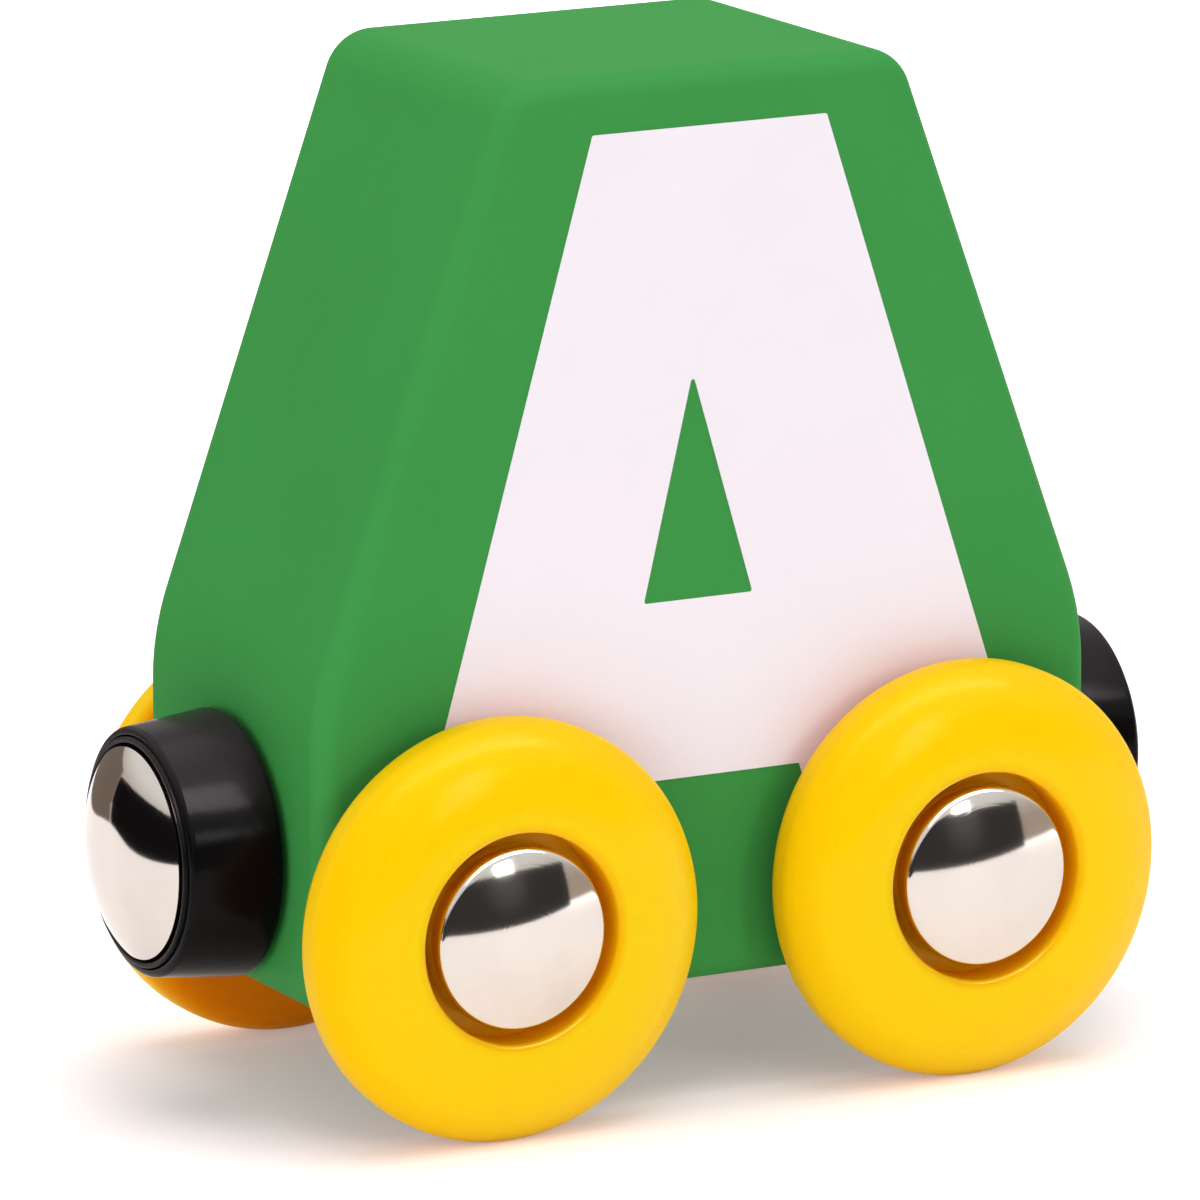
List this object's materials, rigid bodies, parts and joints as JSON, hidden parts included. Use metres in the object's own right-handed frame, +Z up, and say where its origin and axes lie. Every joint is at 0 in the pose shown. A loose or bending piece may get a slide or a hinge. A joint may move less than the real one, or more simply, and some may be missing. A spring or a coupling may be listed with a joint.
{
  "type": "toy train car",
  "caption": "Wooden toy railway car: a painted block with leaning ends and a letter on each side, on plastic wheels with domed hub caps, with magnetic couplers.",
  "frame": {"origin": "on the running surface, under the middle of the car", "axes": "+X along the car towards its rear end, +Y across it towards its right side, +Z up"},
  "size_m": [0.0566, 0.0308, 0.0514],
  "materials": {
    "block_paint": "beech under satin green paint",
    "letter_paint": "satin white paint film",
    "wheel_plastic": "moulded glossy yellow",
    "cap_chrome": "bright plated dome",
    "axle_steel": "drawn wire",
    "cup_plastic": "moulded glossy black",
    "ring_plastic": "moulded glossy black",
    "pole_chrome": "bright plated steel dome",
    "magnet_ferrite": "sintered, dark grey",
    "screw_steel": "zinc plated"
  },
  "bodies": {
    "car": {"body_block": "block_paint", "front_coupler_cup": "cup_plastic", "front_coupler_screw": "screw_steel", "front_coupler_magnet": "magnet_ferrite", "front_pole_cap": "pole_chrome", "front_retaining_ring": "ring_plastic", "rear_coupler_cup": "cup_plastic", "rear_coupler_screw": "screw_steel", "rear_coupler_magnet": "magnet_ferrite", "rear_pole_cap": "pole_chrome", "rear_retaining_ring": "ring_plastic"},
    "front_axle_set": {"front_axle": "axle_steel", "front_left_hub_cap": "cap_chrome", "front_right_hub_cap": "cap_chrome"},
    "rear_axle_set": {"rear_axle": "axle_steel", "rear_left_hub_cap": "cap_chrome", "rear_right_hub_cap": "cap_chrome"},
    "front_left_wheel": {"front_left_wheel": "wheel_plastic"},
    "front_right_wheel": {"front_right_wheel": "wheel_plastic"},
    "rear_left_wheel": {"rear_left_wheel": "wheel_plastic"},
    "rear_right_wheel": {"rear_right_wheel": "wheel_plastic"}
  },
  "joints": [
    {"name": "front_axle_spin", "type": "hinge", "parent": "car", "child": "front_axle_set", "pos_m": [-0.0129, 0, 0.0105], "axis": [0, 1, 0], "continuous": true},
    {"name": "rear_axle_spin", "type": "hinge", "parent": "car", "child": "rear_axle_set", "pos_m": [0.0129, 0, 0.0105], "axis": [0, 1, 0], "continuous": true},
    {"name": "front_left_wheel_spin", "type": "hinge", "parent": "front_axle_set", "child": "front_left_wheel", "pos_m": [-0.0129, -0.0123, 0.0105], "axis": [0, 1, 0], "continuous": true},
    {"name": "front_right_wheel_spin", "type": "hinge", "parent": "front_axle_set", "child": "front_right_wheel", "pos_m": [-0.0129, 0.0123, 0.0105], "axis": [0, 1, 0], "continuous": true},
    {"name": "rear_left_wheel_spin", "type": "hinge", "parent": "rear_axle_set", "child": "rear_left_wheel", "pos_m": [0.0129, -0.0123, 0.0105], "axis": [0, 1, 0], "continuous": true},
    {"name": "rear_right_wheel_spin", "type": "hinge", "parent": "rear_axle_set", "child": "rear_right_wheel", "pos_m": [0.0129, 0.0123, 0.0105], "axis": [0, 1, 0], "continuous": true}
  ]
}
